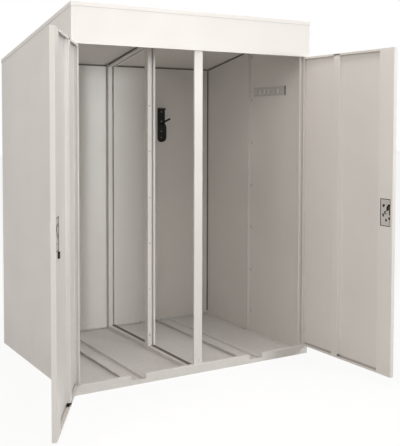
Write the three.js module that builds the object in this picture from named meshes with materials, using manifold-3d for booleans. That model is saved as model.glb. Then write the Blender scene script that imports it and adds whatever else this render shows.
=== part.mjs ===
// Bicycle locker for two bicycles: a pent-roofed sheet steel cabinet with two bays, an open
// framed divider between them, and two hinged doors, each with a rack and pinion rod lock.
// Millimetres. X runs to the right, Y to the rear, Z up. The origin is the middle of the
// footprint on the ground. The doors stand open, as they are stored.
import * as THREE from 'three';
import { mergeVertices } from 'three/addons/utils/BufferGeometryUtils.js';
import Module from 'manifold-3d';

const wasm = await Module();
wasm.setup();

// Cabinet, over the roof cap
const width = 1520;
const depth = 1155;
const frontHeight = 2000;
const roofFall = 213;

// Sheets and the gaps between pieces that lie on each other
const roofSheet = 2;
const wallSheet = 1.5;
const floorSheet = 2;
const frameSheet = 1.5;
const doorSheet = 1.5;
const seam = 0.3;
const overrun = 5;

// Roof cap
const roofFlange = 22;

// Side panels
const sidePanelJoint = 613;
const jointFlange = 20;
const topFlange = 20;
const footFlange = 28;
const cornerFlange = 36;
const doorReturn = 7.2;
const headerReturn = 22;
const footReturn = 45.7;

// Header and sill
const headerHeight = 210;
const headerHem = 14;
const sillHeight = 50;
const sillNotch = 25.4;
const returnDepth = 22.5;

// Hinge jambs and centre post
const postSetback = 24.2;
const jambWidth = 48;
const jambLip = 12;
const jambWallFlange = 20;
const postWidth = 53;
const postDepth = 10;
const postLap = 90;

// Divider frames
const dividerShift = -16.5;
const frameWidth = 52;
const frameDepth = 20;
const frameLeg = 27;
const frameGroove = 12;
const frontFrameEnd = 577;

// Floor
const floorUpstand = 25;

// Wheel channels
const troughWidth = 91;
const channelShoulder = 10;
const channelHeight = 18;
const leftTroughCentre = 377.5;
const rightTroughCentre = 1139;

// Wheel hooks
const hookPlateWidth = 57;
const hookPlateHeight = 238;
const hookPlateDrop = 738;
const hookPlate = 4;
const hookCentre = 1129.5;
const hookArmRadius = 7;
const hookArmUp = 130;
const hookArmReach = 120;
const hookArmRise = 31;
const hookLugUp = 225;
const hookLugReach = 28;
const hookLugThick = 10;
const hookLugWidth = 40;
const lockLoopUp = 69;
const lockLoopReach = 64;
const lockLoopSpan = 118;
const lockLoopRadius = 6;
const loopSquareness = 0.5;

// Coat rails
const railStart = 240;
const railLength = 333;
const railHeight = 60;
const railDrop = 430;
const railPlate = 2;
const coatHooks = 7;
const coatHookReach = 34;
const coatHookThick = 3;
const coatHookWidth = 12;
const coatHookTip = 24;

// Doors
const doorDepth = 22;
const doorClearance = 2;
const pivotInset = 17.7;
const pivotSetback = 5.5;
const hingeReach = 8;
const doorGap = 14;
const hingeLip = 10;
const doorLip = 12;
const leftOpenDegrees = 119.5;
const rightOpenDegrees = 90.5;

// Pivot brackets
const pinRadius = 3.5;
const pinLength = 18;
const bracketPlate = 3;
const bracketWidth = 40;
const bracketLeg = 34;

// Door stiffener
const stiffenerCentre = 288;
const stiffenerWidth = 50;
const stiffenerFoot = 14;
const stiffenerEndGap = 9;

// Lock stile and its window
const stileWidth = 103;
const stileEdgeReturn = 12;
const windowWidth = 74;
const windowHeight = 146;
const spindleFromEdge = 52;
const spindleHeight = 923;

// Lock case and cover
const caseSheet = 1.5;
const caseWidth = 82;
const caseHeight = 156;
const coverWidth = 88;
const coverHeight = 160;

// Rack and pinion
const module = 2;
const pinionTeeth = 12;
const pressureDegrees = 20;
const gearThick = 6;
const backlash = 0.5;
const toothAddendumShare = 0.7;
const toothDedendumShare = 1.25;
const rodWidth = 14;
const rackTail = 34;
const rodRecess = 4;
const rodFit = 1;
const gearBack = 4;

// Handle
const spindleSide = 8;
const handleHub = 11;
const handleLength = 95;
const handleWidth = 18;
const handleThick = 6;
const handleStandoff = 4;
const rosetteRadius = 20;
const rosetteThick = 1.5;
const roundFacets = 32;

// Black stop under the left lock window
const stopWidth = 16;
const stopHeight = 30;
const stopDepth = 9;

// Places worked out from the sizes above
const front = -depth / 2;
const rear = depth / 2;
const sideFace = width / 2 - roofSheet - seam;
const sideInner = sideFace - wallSheet;
const bodyFront = front + roofSheet + seam;
const bodyRear = rear - roofSheet - seam;
const roofSlope = Math.atan2(roofFall, depth);
const floorTop = floorSheet;
const onFloor = floorTop + seam;
const onFoot = onFloor + wallSheet + seam;
const postFace = bodyFront + postSetback;
const rearReturnFace = bodyRear - wallSheet - seam - wallSheet;
const upstandFace = rearReturnFace - seam - floorSheet;
const jointY = front + sidePanelJoint;
const headerBottom = frontHeight - headerHeight;
const postTop = headerBottom + postLap;
const doorTop = headerBottom - doorClearance;
const doorBottom = sillHeight + doorClearance;
const hookPlateBottom = frontHeight - hookPlateDrop;
const railBottom = frontHeight - railDrop;
const postX = 0;
const dividerX = postX + dividerShift;

const roofTopAt = (y) => frontHeight - (roofFall * (y - front)) / depth;
const roofUnderAt = (y) => roofTopAt(y) - roofSheet / Math.cos(roofSlope) - seam;

// Colours
const shellColour = 0xe4e1dc;
const innerColour = 0xd3cfca;
const blackColour = 0x1c1b1b;
const steelColour = 0xa3a5a6;
const handleColour = 0xb9babb;

function paint(color, roughness, metalness) {
  return new THREE.MeshStandardMaterial({ color, roughness, metalness });
}

const shellPaint = () => paint(shellColour, 0.45, 0.1);
const innerPaint = () => paint(innerColour, 0.5, 0.1);
const blackPaint = () => paint(blackColour, 0.5, 0.2);
const zincSteel = () => paint(steelColour, 0.35, 0.9);
const dullMetal = () => paint(handleColour, 0.3, 0.8);

// Solids: a closed geometry becomes a solid for cutting and joining, and goes back again
function solid(geometry) {
  const bare = geometry.clone();
  bare.deleteAttribute('normal');
  bare.deleteAttribute('uv');
  const merged = mergeVertices(bare, 1e-4);
  const vertProperties = new Float32Array(merged.attributes.position.array);
  const triVerts = new Uint32Array(merged.index.array);
  return new wasm.Manifold(new wasm.Mesh({ numProp: 3, vertProperties, triVerts }));
}

function geometryOf(body) {
  const mesh = body.getMesh();
  const geometry = new THREE.BufferGeometry();
  geometry.setAttribute('position', new THREE.BufferAttribute(mesh.vertProperties, 3));
  geometry.setIndex(new THREE.BufferAttribute(mesh.triVerts, 1));
  return geometry;
}

function joined(first, ...others) {
  return others.reduce((sum, other) => sum.add(other), first);
}

function mirrored(geometry) {
  const flipped = geometry.clone();
  flipped.applyMatrix4(new THREE.Matrix4().makeScale(-1, 1, 1));
  const index = flipped.index.array;
  for (let i = 0; i < index.length; i += 3) {
    [index[i], index[i + 1]] = [index[i + 1], index[i]];
  }
  return flipped;
}

function named(name, body, material, mirror = false) {
  const geometry = geometryOf(body);
  const mesh = new THREE.Mesh(mirror ? mirrored(geometry) : geometry, material);
  mesh.name = name;
  return mesh;
}

// Boxes and prisms, placed by their limits
function block(x0, x1, y0, y1, z0, z1) {
  const box = new THREE.BoxGeometry(x1 - x0, y1 - y0, z1 - z0);
  box.translate((x0 + x1) / 2, (y0 + y1) / 2, (z0 + z1) / 2);
  return solid(box);
}

function outline(points) {
  return new THREE.Shape(points.map(([a, b]) => new THREE.Vector2(a, b)));
}

function extruded(shape, length) {
  return new THREE.ExtrudeGeometry(shape, { depth: length, bevelEnabled: false, curveSegments: 8 });
}

// An outline in X and Y, from z0 up to z1
function prismZ(points, z0, z1) {
  return solid(extruded(outline(points), z1 - z0).translate(0, 0, z0));
}

// An outline in Y and Z, from x0 to x1
function prismX(points, x0, x1) {
  const geometry = extruded(outline(points), x1 - x0);
  const turn = new THREE.Matrix4().makeBasis(
    new THREE.Vector3(0, 1, 0),
    new THREE.Vector3(0, 0, 1),
    new THREE.Vector3(1, 0, 0),
  );
  return solid(geometry.applyMatrix4(turn).translate(x0, 0, 0));
}

// An outline in X and Z, from y0 to y1
function prismY(points, y0, y1) {
  const geometry = extruded(outline(points), y1 - y0);
  return solid(geometry.rotateX(Math.PI / 2).translate(0, y1, 0));
}

// A round bar along Y, centred at x and z
function barY(x, z, y0, y1, radius) {
  const bar = new THREE.CylinderGeometry(radius, radius, y1 - y0, roundFacets);
  return solid(bar.translate(x, (y0 + y1) / 2, z));
}

function barZ(x, y, z0, z1, radius) {
  const bar = new THREE.CylinderGeometry(radius, radius, z1 - z0, roundFacets);
  return solid(bar.rotateX(Math.PI / 2).translate(x, y, (z0 + z1) / 2));
}

// The outline of a folded sheet: a path of its outer face, with the sheet on the path's left
function folded(path, sheet) {
  const inner = path.map((point, i) => {
    const before = i > 0 ? direction(path[i - 1], point) : direction(point, path[i + 1]);
    const after = i < path.length - 1 ? direction(point, path[i + 1]) : before;
    const first = [-before[1], before[0]];
    const second = [-after[1], after[0]];
    const miter = 1 + first[0] * second[0] + first[1] * second[1];
    const shift = [(first[0] + second[0]) / miter, (first[1] + second[1]) / miter];
    return [point[0] + shift[0] * sheet, point[1] + shift[1] * sheet];
  });
  return [...path, ...inner.reverse()];
}

function direction(from, to) {
  const length = Math.hypot(to[0] - from[0], to[1] - from[1]);
  return [(to[0] - from[0]) / length, (to[1] - from[1]) / length];
}

// Everything above the roof's underside, to trim what stands under the roof
function aboveRoof() {
  const points = [
    [front - overrun, roofUnderAt(front - overrun)],
    [rear + overrun, roofUnderAt(rear + overrun)],
    [rear + overrun, frontHeight + roofFall],
    [front - overrun, frontHeight + roofFall],
  ];
  return prismX(points, -width, width);
}

const locker = new THREE.Group();
const overRoof = aboveRoof();

// Roof cap: one half of a sloping sheet with its flange turned down, butted at the middle
function roofCap() {
  const shell = prismX(
    [
      [front, frontHeight - roofFlange],
      [rear, roofTopAt(rear) - roofFlange],
      [rear, roofTopAt(rear)],
      [front, frontHeight],
    ],
    -width / 2,
    -seam / 2,
  );
  const innerFront = front + roofSheet;
  const innerRear = rear - roofSheet;
  const underDrop = roofSheet / Math.cos(roofSlope);
  const hollow = prismX(
    [
      [innerFront, frontHeight - roofFlange - overrun],
      [innerRear, roofTopAt(rear) - roofFlange - overrun],
      [innerRear, roofTopAt(innerRear) - underDrop],
      [innerFront, roofTopAt(innerFront) - underDrop],
    ],
    -width / 2 + roofSheet,
    overrun,
  );
  return shell.subtract(hollow);
}

locker.add(named('roof_cap_left', roofCap(), shellPaint()));
locker.add(named('roof_cap_right', roofCap(), shellPaint(), true));

// A flange under the roof, along a side wall
function slopedFlange(y0, y1, x0, x1) {
  return prismX(
    [
      [y0, roofUnderAt(y0) - wallSheet],
      [y1, roofUnderAt(y1) - wallSheet],
      [y1, roofUnderAt(y1)],
      [y0, roofUnderAt(y0)],
    ],
    x0,
    x1,
  );
}

// Front side panel: wall, front returns stepped round the door, joint, top and foot flanges
function sideFrontPanel() {
  const wall = block(-sideFace, -sideInner, bodyFront, jointY, 0, frontHeight);
  const returnOutline = [
    [-sideFace, 0],
    [-sideFace + footReturn, 0],
    [-sideFace + footReturn, sillHeight],
    [-sideFace + doorReturn, sillHeight],
    [-sideFace + doorReturn, headerBottom],
    [-sideFace + headerReturn, headerBottom],
    [-sideFace + headerReturn, frontHeight],
    [-sideFace, frontHeight],
  ];
  const frontReturn = prismY(returnOutline, bodyFront, bodyFront + wallSheet);
  const flangeEdge = -sideInner + jointFlange;
  const joint = block(-sideFace, flangeEdge, jointY - wallSheet, jointY, onFloor, frontHeight);
  const foot = block(-sideFace, -sideInner + footFlange, bodyFront, jointY, onFloor, onFloor + wallSheet);
  const top = slopedFlange(bodyFront, jointY, -sideFace, -sideInner + topFlange);
  return joined(wall, frontReturn, joint, foot, top).subtract(overRoof);
}

// Rear side panel: wall, joint flange, corner flange behind the floor's upstand
function sideRearPanel() {
  const start = jointY + seam;
  const end = rearReturnFace + wallSheet;
  const wall = block(-sideFace, -sideInner, start, end, 0, frontHeight);
  const flangeEdge = -sideInner + jointFlange;
  const joint = block(-sideFace, flangeEdge, start, start + wallSheet, onFloor, frontHeight);
  const cornerEdge = -sideInner + cornerFlange;
  const corner = block(-sideFace, cornerEdge, rearReturnFace, end, 0, frontHeight);
  const footEnd = upstandFace - seam;
  const foot = block(-sideFace, -sideInner + footFlange, start, footEnd, onFloor, onFloor + wallSheet);
  const top = slopedFlange(start, end, -sideFace, -sideInner + topFlange);
  return joined(wall, joint, corner, foot, top).subtract(overRoof);
}

for (const [side, mirror] of [['left', false], ['right', true]]) {
  locker.add(named(`${side}_side_front_panel`, sideFrontPanel(), shellPaint(), mirror));
  locker.add(named(`${side}_side_rear_panel`, sideRearPanel(), shellPaint(), mirror));
}

// Rear panel: one half of the rear wall, with a flange under the roof
function rearPanel() {
  const centre = -seam / 2;
  const wall = block(-sideFace, centre, bodyRear - wallSheet, bodyRear, 0, frontHeight);
  const flangeStart = rearReturnFace - topFlange;
  const besideCorner = -sideInner + cornerFlange + seam;
  const top = slopedFlange(flangeStart, bodyRear, besideCorner, dividerX - frameWidth / 2 - seam);
  return joined(wall, top).subtract(overRoof);
}

for (const [side, mirror] of [['left', false], ['right', true]]) {
  locker.add(named(`rear_panel_${side}`, rearPanel(), shellPaint(), mirror));
}

// Header: fascia with a folded and hemmed bottom edge, slotted for the upper lock rods
function header() {
  const half = sideFace - headerReturn - seam;
  const fascia = block(-half, half, bodyFront, bodyFront + wallSheet, headerBottom, frontHeight);
  const jambEdge = sideInner - seam - jambWidth - seam;
  const backEdge = bodyFront + returnDepth;
  const ledge = block(-jambEdge, jambEdge, bodyFront, backEdge, headerBottom, headerBottom + wallSheet);
  const hem = block(-jambEdge, jambEdge, backEdge - wallSheet, backEdge, headerBottom, headerBottom + headerHem);
  const roofEdge = Math.min(half, sideInner - topFlange - seam);
  const top = slopedFlange(bodyFront, bodyFront + topFlange, -roofEdge, roofEdge);
  let body = joined(fascia, ledge, hem, top).subtract(overRoof);
  for (const slot of rodSlots(upperRodCentre, headerBottom)) {
    body = body.subtract(slot);
  }
  return body;
}

// Slots above or below both closed doors, where a lock rod goes through a sheet at height z
function rodSlots(rodCentre, z) {
  const halfWidth = rodWidth / 2 + rodFit * 2;
  const y0 = pivotY + gearBack - rodFit;
  const y1 = pivotY + gearBack + gearThick + rodFit;
  return [-1, 1].map((side) => {
    const x = side * (pivotX - rodCentre);
    return block(x - halfWidth, x + halfWidth, y0, y1, z - overrun, z + overrun);
  });
}

// Sill: a folded channel between the side panels' feet, notched for the wheels
function sill() {
  const half = sideFace - footReturn - seam;
  const backEdge = bodyFront + returnDepth;
  const face = block(-half, half, bodyFront, bodyFront + wallSheet, 0, sillHeight);
  const top = block(-half, half, bodyFront, backEdge, sillHeight - wallSheet, sillHeight);
  const besideFeet = sideInner - footFlange - seam;
  const bottomHalf = Math.min(half, besideFeet);
  const bottom = block(-bottomHalf, bottomHalf, bodyFront, backEdge, onFloor, onFloor + wallSheet);
  let body = joined(face, top, bottom);
  for (const centre of troughCentres) {
    const notchBottom = sillHeight - sillNotch;
    const y0 = bodyFront - overrun;
    const y1 = backEdge + overrun;
    const halfNotch = troughWidth / 2;
    const notch = block(centre - halfNotch, centre + halfNotch, y0, y1, notchBottom, sillHeight + overrun);
    body = body.subtract(notch);
  }
  for (const slot of rodSlots(lowerRodCentre, sillHeight)) {
    body = body.subtract(slot);
  }
  return body;
}

// Floor tray: one sheet on the ground with an upstand along the rear wall
function floorTray() {
  const half = sideInner - seam;
  const sheetFront = bodyFront + wallSheet + seam;
  const sheetRear = upstandFace + floorSheet;
  const sheet = block(-half, half, sheetFront, sheetRear, 0, floorSheet);
  const upstand = block(-half, half, upstandFace, sheetRear, 0, floorUpstand);
  return sheet.add(upstand);
}

// Wheel channel: a folded trough with narrow flanges turned out, from the sill to the upstand
function wheelChannel(centre) {
  const half = troughWidth / 2;
  const outer = half + channelShoulder;
  const path = [
    [centre - outer, onFloor + channelHeight],
    [centre - half, onFloor + channelHeight],
    [centre - half, onFloor + wallSheet],
    [centre + half, onFloor + wallSheet],
    [centre + half, onFloor + channelHeight],
    [centre + outer, onFloor + channelHeight],
  ];
  const start = bodyFront + returnDepth + seam;
  return prismY(folded(path.reverse(), wallSheet), start, upstandFace - seam);
}

const pivotX = sideFace - pivotInset;
const pivotY = bodyFront + pivotSetback;
const doorEdge = pivotX - doorGap / 2;
const spindleU = doorEdge - spindleFromEdge;
const pitchRadius = (module * pinionTeeth) / 2;
const rackRoot = pitchRadius + module * toothDedendumShare;
const upperRodCentre = spindleU - rackRoot - rodWidth / 2;
const lowerRodCentre = spindleU + rackRoot + rodWidth / 2;
const troughCentres = [leftTroughCentre - width / 2, rightTroughCentre - width / 2];

locker.add(named('header', header(), shellPaint()));
locker.add(named('sill', sill(), shellPaint()));
locker.add(named('floor_tray', floorTray(), innerPaint()));
locker.add(named('wheel_channel_left', wheelChannel(troughCentres[0]), innerPaint()));
locker.add(named('wheel_channel_right', wheelChannel(troughCentres[1]), innerPaint()));

// Hinge jamb: a folded post against the side wall, its face behind the closed door
function hingeJamb() {
  const wallX = -sideInner + seam;
  const path = [
    [wallX, postFace + jambWallFlange],
    [wallX, postFace],
    [wallX + jambWidth, postFace],
    [wallX + jambWidth, postFace + jambLip],
  ];
  return prismZ(folded(path, wallSheet), onFoot, postTop);
}

locker.add(named('left_hinge_jamb', hingeJamb(), shellPaint()));
locker.add(named('right_hinge_jamb', hingeJamb(), shellPaint(), true));

// Centre post: a channel behind the gap between the doors, open to the rear
function centrePost() {
  const path = [
    [postX - postWidth / 2, postFace + postDepth],
    [postX - postWidth / 2, postFace],
    [postX + postWidth / 2, postFace],
    [postX + postWidth / 2, postFace + postDepth],
  ];
  return prismZ(folded(path, wallSheet), onFloor, postTop);
}

locker.add(named('centre_post', centrePost(), shellPaint()));

// Section of a divider frame member: a bolting leg, an open groove and a lip. It runs across
// X from the divider's left face, and its face is at depth zero with the back at frameDepth.
function memberSection() {
  const left = dividerX - frameWidth / 2;
  const grooveStart = left + frameLeg;
  const grooveEnd = grooveStart + frameGroove;
  const right = left + frameWidth;
  const bottom = frameDepth - frameSheet;
  return folded(
    [
      [left, frameDepth],
      [left, 0],
      [grooveStart, 0],
      [grooveStart, bottom],
      [grooveEnd, bottom],
      [grooveEnd, 0],
      [right, 0],
      [right, frameDepth],
    ],
    frameSheet,
  );
}

// An upright member: its face looks to the front, or to the rear when turned
function frameStile(faceY, looksToFront) {
  const points = memberSection().map(([x, d]) => [x, looksToFront ? faceY + d : faceY - d]);
  return prismZ(points, onFloor, frontHeight).subtract(overRoof);
}

// The floor rail of a frame, with its groove open upwards
function frameFloorRail(y0, y1) {
  const top = onFloor + frameDepth;
  const points = memberSection().map(([x, d]) => [x, top - d]);
  return prismY(points, y0, y1);
}

// The roof rail of a frame, with its groove open downwards, on the slope of the roof
function frameRoofRail(y0, y1) {
  const length = (rear - front) / Math.cos(roofSlope);
  const points = memberSection().map(([x, d]) => [x, d - frameDepth]);
  const bar = extruded(outline(points), length).rotateX(Math.PI / 2).translate(0, length, 0);
  bar.rotateX(-roofSlope).translate(0, front, roofUnderAt(front));
  const span = block(-width, width, y0, y1, 0, frontHeight * 2);
  return solid(bar).intersect(span);
}

const midJoint = front + frontFrameEnd;
const frontMidFace = midJoint - frameDepth;
const rearMidFace = midJoint + seam + frameDepth;
const rearStileFace = upstandFace - seam - frameDepth;
const frames = [
  ['front', postFace + postDepth, frontMidFace],
  ['rear', rearMidFace, rearStileFace],
];

// The centre post closes the front frame, so only the rear frame has a stile at its near end
for (const [bay, nearFace, farFace] of frames) {
  const railStartY = nearFace + seam;
  const railEndY = farFace - seam;
  locker.add(named(`divider_${bay}_far_stile`, frameStile(farFace, true), innerPaint()));
  locker.add(named(`divider_${bay}_floor_rail`, frameFloorRail(railStartY, railEndY), innerPaint()));
  locker.add(named(`divider_${bay}_roof_rail`, frameRoofRail(railStartY, railEndY), innerPaint()));
}
locker.add(named('divider_rear_near_stile', frameStile(rearMidFace, false), innerPaint()));

// A curve in the plane of Y and Z at one x, for bent round bars
class BentBar extends THREE.Curve {
  constructor(place) {
    super();
    this.place = place;
  }

  getPoint(t, target = new THREE.Vector3()) {
    const [x, y, z] = this.place(t);
    return target.set(x, y, z);
  }
}

function bentBar(place, radius, steps) {
  const circle = new THREE.Shape();
  circle.absarc(0, 0, radius, 0, Math.PI * 2, false);
  const path = new BentBar(place);
  return solid(new THREE.ExtrudeGeometry(circle, { extrudePath: path, steps, curveSegments: 6 }));
}

// Wheel hook: a wall plate with a top lug, a rising arm for the rim and a loop for a lock
function wheelHook(centreX) {
  const back = bodyRear - wallSheet - seam;
  const faceY = back - hookPlate;
  const half = hookPlateWidth / 2;
  const top = hookPlateBottom + hookPlateHeight;
  const plate = new THREE.Shape();
  plate.moveTo(centreX - half, top);
  plate.lineTo(centreX - half, hookPlateBottom + half);
  plate.absarc(centreX, hookPlateBottom + half, half, Math.PI, Math.PI * 2, false);
  plate.lineTo(centreX + half, top);
  const wallPlate = solid(extruded(plate, hookPlate).rotateX(Math.PI / 2).translate(0, back, 0));
  const sunk = faceY + hookPlate / 2;
  const lug = block(
    centreX - hookLugWidth / 2,
    centreX + hookLugWidth / 2,
    faceY - hookLugReach,
    sunk,
    hookPlateBottom + hookLugUp,
    hookPlateBottom + hookLugUp + hookLugThick,
  );
  const arm = bentBar(
    (t) => [
      centreX,
      sunk - t * (hookArmReach + hookPlate / 2),
      hookPlateBottom + hookArmUp + hookArmRise * t,
    ],
    hookArmRadius,
    2,
  );
  const squared = (value) => Math.sign(value) * Math.abs(value) ** loopSquareness;
  const loop = bentBar(
    (t) => [
      centreX,
      sunk - squared(Math.sin(Math.PI * t)) * (lockLoopReach + hookPlate / 2),
      hookPlateBottom + lockLoopUp + (squared(Math.cos(Math.PI * t)) * lockLoopSpan) / 2,
    ],
    lockLoopRadius,
    24,
  );
  return joined(wallPlate, lug, arm, loop);
}

const hookX = hookCentre - width / 2;
locker.add(named('left_wheel_hook', wheelHook(-hookX), blackPaint()));
locker.add(named('right_wheel_hook', wheelHook(hookX), blackPaint()));

// Coat rail: a strip on the side wall with a row of bent hooks
function coatRail() {
  const start = front + railStart;
  const back = -sideInner + seam;
  const faceX = back + railPlate;
  const strip = block(back, faceX, start, start + railLength, railBottom, railBottom + railHeight);
  const hookBase = railBottom + railHeight / 4;
  const tip = faceX + coatHookReach;
  const path = [
    [tip, hookBase + coatHookTip],
    [tip, hookBase],
    [faceX - railPlate / 2, hookBase],
  ];
  const pitch = railLength / coatHooks;
  const hooks = Array.from({ length: coatHooks }, (_, i) => {
    const y = start + pitch * (i + 1 / 2);
    return prismY(folded(path, coatHookThick), y - coatHookWidth / 2, y + coatHookWidth / 2);
  });
  return joined(strip, ...hooks);
}

locker.add(named('left_coat_rail', coatRail(), innerPaint()));
locker.add(named('right_coat_rail', coatRail(), innerPaint(), true));

// Pivot bracket: an angle on the jamb that holds the door's pin, above or below the door
function pivotBracket(upper) {
  const x0 = -sideInner + seam;
  const x1 = x0 + bracketWidth;
  const y0 = bodyFront + wallSheet + seam;
  const y1 = postFace - seam;
  const edge = upper ? headerBottom : sillHeight;
  const up = upper ? 1 : -1;
  const [p0, p1] = [edge, edge + up * bracketPlate].sort((a, b) => a - b);
  const [l0, l1] = [edge, edge + up * bracketLeg].sort((a, b) => a - b);
  const [n0, n1] = [edge + up * bracketPlate, edge - up * pinLength].sort((a, b) => a - b);
  const plate = block(x0, x1, y0, y1, p0, p1);
  const leg = block(x0, x1, y1 - bracketPlate, y1, l0, l1);
  const pin = barZ(-pivotX, pivotY, n0, n1, pinRadius);
  return joined(plate, leg, pin);
}

for (const [side, mirror] of [['left', false], ['right', true]]) {
  locker.add(named(`${side}_upper_pivot`, pivotBracket(true), shellPaint(), mirror));
  locker.add(named(`${side}_lower_pivot`, pivotBracket(false), shellPaint(), mirror));
}

// Doors. Each is drawn closed about its pivot: X along the door to the free edge, Y inwards.
const outerFace = -pivotSetback;
const innerFace = outerFace + doorDepth;
const skinInside = outerFace + doorSheet;
const freeEdge = doorEdge;
const stileStart = freeEdge - doorSheet - seam - stileWidth;
const windowCentre = spindleU;

// Door pan: the outer skin with its edges folded in and lipped, notched for the stiffeners
function doorPan() {
  const shell = block(-hingeReach, freeEdge, outerFace, innerFace, doorBottom, doorTop);
  const hollow = block(
    -hingeReach + doorSheet,
    freeEdge - doorSheet,
    skinInside,
    innerFace - doorSheet,
    doorBottom + doorSheet,
    doorTop - doorSheet,
  );
  const mouth = block(
    -hingeReach + hingeLip,
    freeEdge - doorSheet,
    skinInside,
    innerFace + overrun,
    doorBottom + doorLip,
    doorTop - doorLip,
  );
  const lipCut = (u0, u1) =>
    block(u0, u1, skinInside, innerFace + overrun, doorBottom + doorSheet, doorTop - doorSheet);
  const hatHalf = stiffenerWidth / 2 + seam;
  const hatNotch = lipCut(stiffenerCentre - hatHalf, stiffenerCentre + hatHalf);
  const stileNotch = lipCut(stileStart - seam, freeEdge - doorSheet);
  const pinHole = barZ(0, 0, doorBottom - overrun, doorTop + overrun, pinRadius + seam);
  const y0 = gearBack - rodFit;
  const y1 = gearBack + gearThick + rodFit;
  const rodHalf = rodWidth / 2 + rodFit;
  const spindleHole = barY(spindleU, spindleHeight, outerFace - overrun, skinInside + overrun, spindleHoleRadius);
  const upperSlot = block(
    upperRodCentre - rodHalf,
    upperRodCentre + rodHalf,
    y0,
    y1,
    doorTop - overrun,
    doorTop + overrun,
  );
  const lowerSlot = block(
    lowerRodCentre - rodHalf,
    lowerRodCentre + rodHalf,
    y0,
    y1,
    doorBottom - overrun,
    doorBottom + overrun,
  );
  return [hollow, mouth, hatNotch, stileNotch, pinHole, spindleHole, upperSlot, lowerSlot].reduce(
    (body, cut) => body.subtract(cut),
    shell,
  );
}

const spindleHoleRadius = (spindleSide / 2) * Math.SQRT2 + rodFit;

// Stiffener: a hat section from the bottom fold to the top fold, flush with the door's lips
function doorStiffener() {
  const half = stiffenerWidth / 2;
  const back = skinInside + seam;
  const path = [
    [stiffenerCentre - half - stiffenerFoot, back],
    [stiffenerCentre - half, back],
    [stiffenerCentre - half, innerFace - doorSheet],
    [stiffenerCentre + half - doorSheet, innerFace - doorSheet],
    [stiffenerCentre + half - doorSheet, back],
    [stiffenerCentre + half + stiffenerFoot, back],
  ];
  const bottom = doorBottom + doorLip + stiffenerEndGap;
  return prismZ(folded(path, doorSheet), bottom, doorTop - doorLip - seam);
}

// Lock stile: a full-height folded strip along the free edge, with a window for the lock
function lockStile() {
  const end = freeEdge - doorSheet - seam;
  const path = [
    [end, innerFace - stileEdgeReturn],
    [end, innerFace],
    [stileStart, innerFace],
    [stileStart, skinInside + seam],
  ];
  const strip = prismZ(folded(path, doorSheet), doorBottom + doorSheet + seam, doorTop - doorSheet - seam);
  const window = block(
    windowCentre - windowWidth / 2,
    windowCentre + windowWidth / 2,
    innerFace - doorSheet - overrun,
    innerFace + overrun,
    spindleHeight - windowHeight / 2,
    spindleHeight + windowHeight / 2,
  );
  return strip.subtract(window);
}

const coverFront = innerFace - doorSheet - seam;
const coverBack = coverFront - caseSheet;
const caseFront = coverBack - seam;
const caseBack = skinInside + seam;

// Lock case: an open box round the gear, with slots for the two rods
function lockCase() {
  const half = caseWidth / 2;
  const z0 = spindleHeight - caseHeight / 2;
  const z1 = spindleHeight + caseHeight / 2;
  const shell = block(spindleU - half, spindleU + half, caseBack, caseFront, z0, z1);
  const hollow = block(
    spindleU - half + caseSheet,
    spindleU + half - caseSheet,
    caseBack + caseSheet,
    caseFront + overrun,
    z0 + caseSheet,
    z1 - caseSheet,
  );
  const rodHalf = rodWidth / 2 + rodFit;
  const y0 = gearBack - rodFit;
  const y1 = gearBack + gearThick + rodFit;
  const upper = block(upperRodCentre - rodHalf, upperRodCentre + rodHalf, y0, y1, z1 - overrun, z1 + overrun);
  const lower = block(lowerRodCentre - rodHalf, lowerRodCentre + rodHalf, y0, y1, z0 - overrun, z0 + overrun);
  const hole = barY(spindleU, spindleHeight, caseBack - overrun, caseBack + overrun, spindleHoleRadius);
  return [hollow, upper, lower, hole].reduce((body, cut) => body.subtract(cut), shell);
}

// Cut-outs in the lock cover, as shares of half the window: centre, then half sizes and tilt
const coverRoundShares = [
  [-0.36, 0.49, 0.2, 0.13, -0.5],
  [-0.43, -0.2, 0.16, 0.14, 0.4],
  [0.74, -0.41, 0.16, 0.11, 0],
  [0.16, -0.55, 0.15, 0.1, 0.5],
];
const coverHookShares = [
  [0.2, 0.12],
  [0.2, 0.38],
  [0.52, 0.6],
  [0.94, 0.62],
  [0.94, -0.16],
  [0.7, -0.16],
  [0.7, 0.22],
  [0.48, 0.12],
];
const spindleEyeFit = 2.5;

// Lock cover: a flat plate behind the window, cut out so that the gear and racks show
function lockCover() {
  const halfW = windowWidth / 2;
  const halfH = windowHeight / 2;
  let plate = block(
    spindleU - coverWidth / 2,
    spindleU + coverWidth / 2,
    coverBack,
    coverFront,
    spindleHeight - coverHeight / 2,
    spindleHeight + coverHeight / 2,
  );
  const y0 = coverBack - overrun;
  const y1 = coverFront + overrun;
  for (const [u, z, a, b, tilt] of coverRoundShares) {
    const slot = new THREE.Shape();
    slot.absellipse(0, 0, a * halfW, b * halfH, 0, Math.PI * 2, false, tilt);
    const cut = extruded(slot, y1 - y0).rotateX(Math.PI / 2);
    plate = plate.subtract(solid(cut.translate(spindleU + u * halfW, y1, spindleHeight + z * halfH)));
  }
  const hook = coverHookShares.map(([u, z]) => [spindleU + u * halfW, spindleHeight + z * halfH]);
  const eye = barY(spindleU, spindleHeight, y0, y1, spindleHoleRadius + spindleEyeFit);
  return plate.subtract(prismY(hook, y0, y1)).subtract(eye);
}

// Pinion: involute teeth about the spindle, with a square hole
function involute(angle) {
  return Math.tan(angle) - angle;
}

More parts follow.
